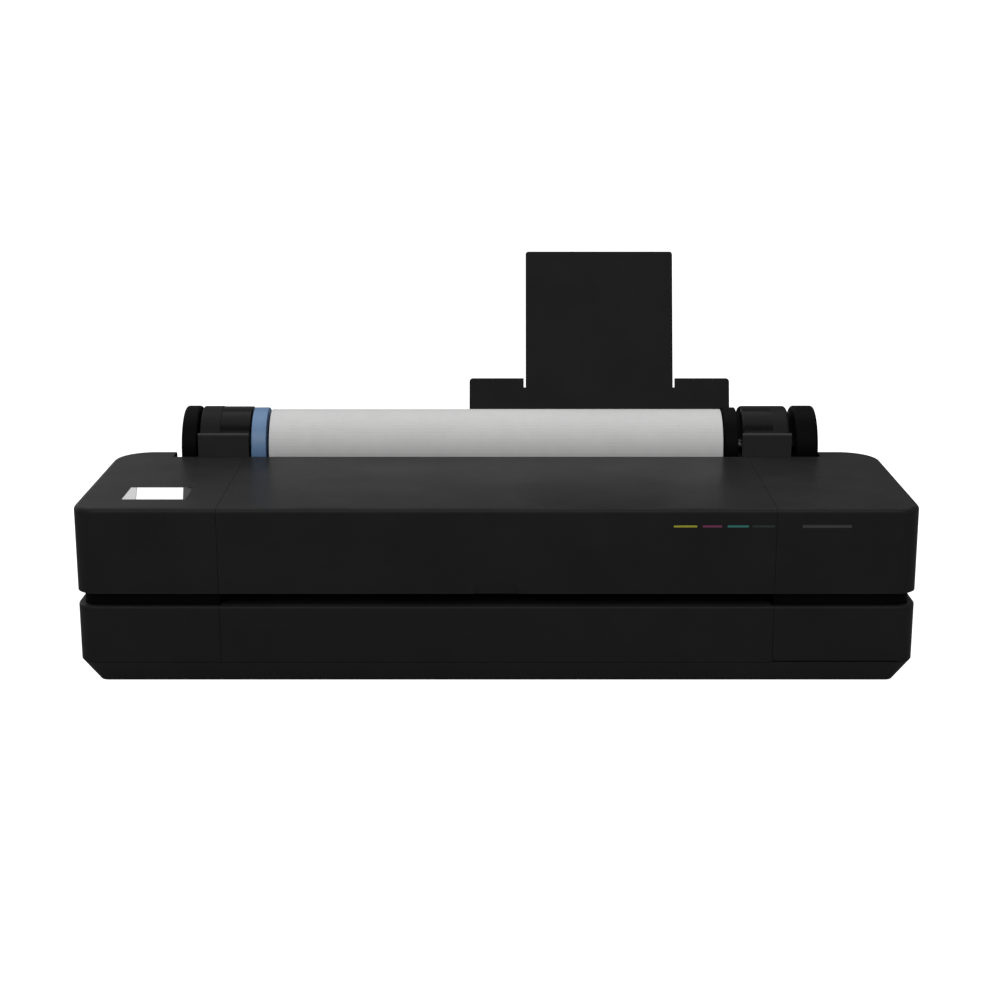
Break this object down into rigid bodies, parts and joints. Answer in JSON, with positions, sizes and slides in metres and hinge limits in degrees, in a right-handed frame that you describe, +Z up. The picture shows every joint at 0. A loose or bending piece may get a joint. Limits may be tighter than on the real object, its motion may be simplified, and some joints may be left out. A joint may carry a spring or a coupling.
{
  "type": "large format plotter",
  "caption": "Desktop inkjet plotter for wide paper rolls: low black casing with hinged lid, roll on a spindle behind the deck, raised sheet tray, ink door and touch display.",
  "frame": {"origin": "on the table, under the middle of the whole machine", "axes": "+X to the user's right, the front faces -Y, +Z up"},
  "size_m": [1.029, 0.482, 0.4785],
  "materials": {
    "case_black": "fine satin texture",
    "band_black": "matt",
    "cradle_black": "matt",
    "hub_gloss": "gloss",
    "stop_blue": "satin",
    "paper_white": "matt",
    "core_board": "matt",
    "steel": "turned",
    "zinc_sheet": "zinc plated",
    "inner_grey": "moulded",
    "head_black": "moulded",
    "rubber_dark": "matt",
    "pulley_white": "moulded",
    "motor_case": "painted",
    "board_green": "solder mask",
    "supply_case": "plated",
    "socket_black": "matt",
    "display_glass": "gloss",
    "module_grey": "moulded",
    "badge_grey": "satin",
    "mark_yellow": "printed",
    "cartridge_yellow": "moulded",
    "mark_magenta": "printed",
    "cartridge_magenta": "moulded",
    "mark_cyan": "printed",
    "cartridge_cyan": "moulded",
    "mark_black": "printed",
    "cartridge_black": "moulded"
  },
  "bodies": {
    "chassis": {"base_pan": "case_black", "carriage_belt": "rubber_dark", "cross_beam": "zinc_sheet", "display_module": "module_grey", "drive_motors": "motor_case", "end_frames": "zinc_sheet", "feed_belt": "rubber_dark", "frame_screws": "steel", "guide_rails": "steel", "hinge_pins": "steel", "lower_front_cover": "case_black", "lower_left_cover": "case_black", "lower_right_cover": "case_black", "main_board": "board_green", "name_badge": "badge_grey", "platen": "inner_grey", "power_supply": "supply_case", "rear_housing": "case_black", "roll_cradles": "cradle_black", "rubber_feet": "rubber_dark", "service_station": "inner_grey", "socket_panel": "socket_black", "touch_display": "display_glass", "upper_left_cover": "case_black", "upper_right_cover": "case_black", "waist_band": "band_black"},
    "main_lid": {"main_lid": "case_black", "ink_mark_yellow": "mark_yellow", "ink_mark_magenta": "mark_magenta", "ink_mark_cyan": "mark_cyan", "ink_mark_black": "mark_black"},
    "ink_door": {"ink_door": "case_black"},
    "roll_carrier": {"left_spindle_hub": "hub_gloss", "right_spindle_hub": "hub_gloss"},
    "roll": {"spindle_shaft": "steel", "left_end_disc": "hub_gloss", "right_end_disc": "hub_gloss", "blue_stop": "stop_blue", "roll_flange": "hub_gloss", "paper_core": "core_board", "paper_roll": "paper_white"},
    "sheet_tray": {"sheet_tray": "case_black"},
    "tray_extension": {"tray_extension": "case_black"},
    "sheet_guide": {"sheet_guide": "case_black"},
    "pick_roller": {"pick_roller": "rubber_dark"},
    "carriage": {"carriage": "inner_grey", "printheads": "head_black"},
    "belt_pulley": {"belt_pulley": "pulley_white"},
    "idler_pulley": {"idler_pulley": "pulley_white"},
    "feed_roller": {"feed_roller": "rubber_dark"},
    "pinch_rollers": {"pinch_rollers": "rubber_dark"},
    "output_roller": {"output_roller": "rubber_dark"},
    "motor_pulley": {"motor_pulley": "pulley_white"},
    "cutter": {"cutter": "inner_grey"},
    "service_cap": {"service_cap": "rubber_dark"},
    "power_button": {"power_button": "socket_black"},
    "ink_cartridge_yellow": {"ink_cartridge_yellow": "cartridge_yellow"},
    "ink_cartridge_magenta": {"ink_cartridge_magenta": "cartridge_magenta"},
    "ink_cartridge_cyan": {"ink_cartridge_cyan": "cartridge_cyan"},
    "ink_cartridge_black": {"ink_cartridge_black": "cartridge_black"}
  },
  "joints": [
    {"name": "main_lid_hinge", "type": "hinge", "parent": "chassis", "child": "main_lid", "pos_m": [0, 0.0305, 0.219], "axis": [-1, 0, 0], "range_deg": [0, 60]},
    {"name": "ink_door_hinge", "type": "hinge", "parent": "chassis", "child": "ink_door", "pos_m": [0.42, -0.237, 0.0342], "axis": [1, 0, 0], "range_deg": [0, 75]},
    {"name": "roll_lift", "type": "slide", "parent": "chassis", "child": "roll_carrier", "axis": [0, 0, 1], "range_m": [0, 0.12]},
    {"name": "roll_spin", "type": "hinge", "parent": "roll_carrier", "child": "roll", "pos_m": [0, 0.098, 0.228], "axis": [1, 0, 0], "continuous": true},
    {"name": "sheet_tray_slide", "type": "slide", "parent": "chassis", "child": "sheet_tray", "axis": [0, 0.299, 0.9542], "range_m": [-0.06, 0]},
    {"name": "tray_extension_slide", "type": "slide", "parent": "sheet_tray", "child": "tray_extension", "axis": [0, 0.299, 0.9542], "range_m": [-0.181, 0]},
    {"name": "sheet_guide_slide", "type": "slide", "parent": "sheet_tray", "child": "sheet_guide", "axis": [1, 0, 0], "range_m": [0, 0.2]},
    {"name": "pick_roller_spin", "type": "hinge", "parent": "chassis", "child": "pick_roller", "pos_m": [0.1447, 0.09194, 0.07791], "axis": [1, 0, 0], "continuous": true},
    {"name": "carriage_slide", "type": "slide", "parent": "chassis", "child": "carriage", "axis": [1, 0, 0], "range_m": [-0.75, 0]},
    {"name": "belt_pulley_spin", "type": "hinge", "parent": "chassis", "child": "belt_pulley", "pos_m": [-0.425, 0.004, 0.178], "axis": [0, 1, 0], "continuous": true},
    {"name": "idler_pulley_spin", "type": "hinge", "parent": "chassis", "child": "idler_pulley", "pos_m": [0.43, 0.004, 0.178], "axis": [0, 1, 0], "continuous": true},
    {"name": "feed_roller_spin", "type": "hinge", "parent": "chassis", "child": "feed_roller", "pos_m": [0, -0.05, 0.116], "axis": [1, 0, 0], "continuous": true},
    {"name": "pinch_rollers_spin", "type": "hinge", "parent": "chassis", "child": "pinch_rollers", "pos_m": [0, -0.05, 0.1334], "axis": [1, 0, 0], "continuous": true},
    {"name": "output_roller_spin", "type": "hinge", "parent": "chassis", "child": "output_roller", "pos_m": [0, -0.124, 0.1165], "axis": [1, 0, 0], "continuous": true},
    {"name": "motor_pulley_spin", "type": "hinge", "parent": "chassis", "child": "motor_pulley", "pos_m": [-0.434, -0.02, 0.074], "axis": [1, 0, 0], "continuous": true},
    {"name": "cutter_slide", "type": "slide", "parent": "chassis", "child": "cutter", "axis": [1, 0, 0], "range_m": [-0.63, 0]},
    {"name": "service_cap_lift", "type": "slide", "parent": "chassis", "child": "service_cap", "axis": [0, 0, 1], "range_m": [0, 0.004]},
    {"name": "power_button_press", "type": "slide", "parent": "chassis", "child": "power_button", "axis": [0, -1, 0], "range_m": [0, 0.0015], "stiffness_N_per_m": 400},
    {"name": "ink_cartridge_yellow_release", "type": "slide", "parent": "chassis", "child": "ink_cartridge_yellow", "axis": [0, -1, 0], "range_m": [0, 0.008]},
    {"name": "ink_cartridge_magenta_release", "type": "slide", "parent": "chassis", "child": "ink_cartridge_magenta", "axis": [0, -1, 0], "range_m": [0, 0.008]},
    {"name": "ink_cartridge_cyan_release", "type": "slide", "parent": "chassis", "child": "ink_cartridge_cyan", "axis": [0, -1, 0], "range_m": [0, 0.008]},
    {"name": "ink_cartridge_black_release", "type": "slide", "parent": "chassis", "child": "ink_cartridge_black", "axis": [0, -1, 0], "range_m": [0, 0.008]}
  ],
  "couplings": [
    {"joint": "belt_pulley_spin", "follows": "carriage_slide", "rad_per_m": -111.11},
    {"joint": "idler_pulley_spin", "follows": "carriage_slide", "rad_per_m": -111.11},
    {"joint": "pinch_rollers_spin", "follows": "feed_roller_spin", "ratio": -2.4},
    {"joint": "output_roller_spin", "follows": "feed_roller_spin", "ratio": 1.5},
    {"joint": "motor_pulley_spin", "follows": "feed_roller_spin", "ratio": 3.4444}
  ]
}
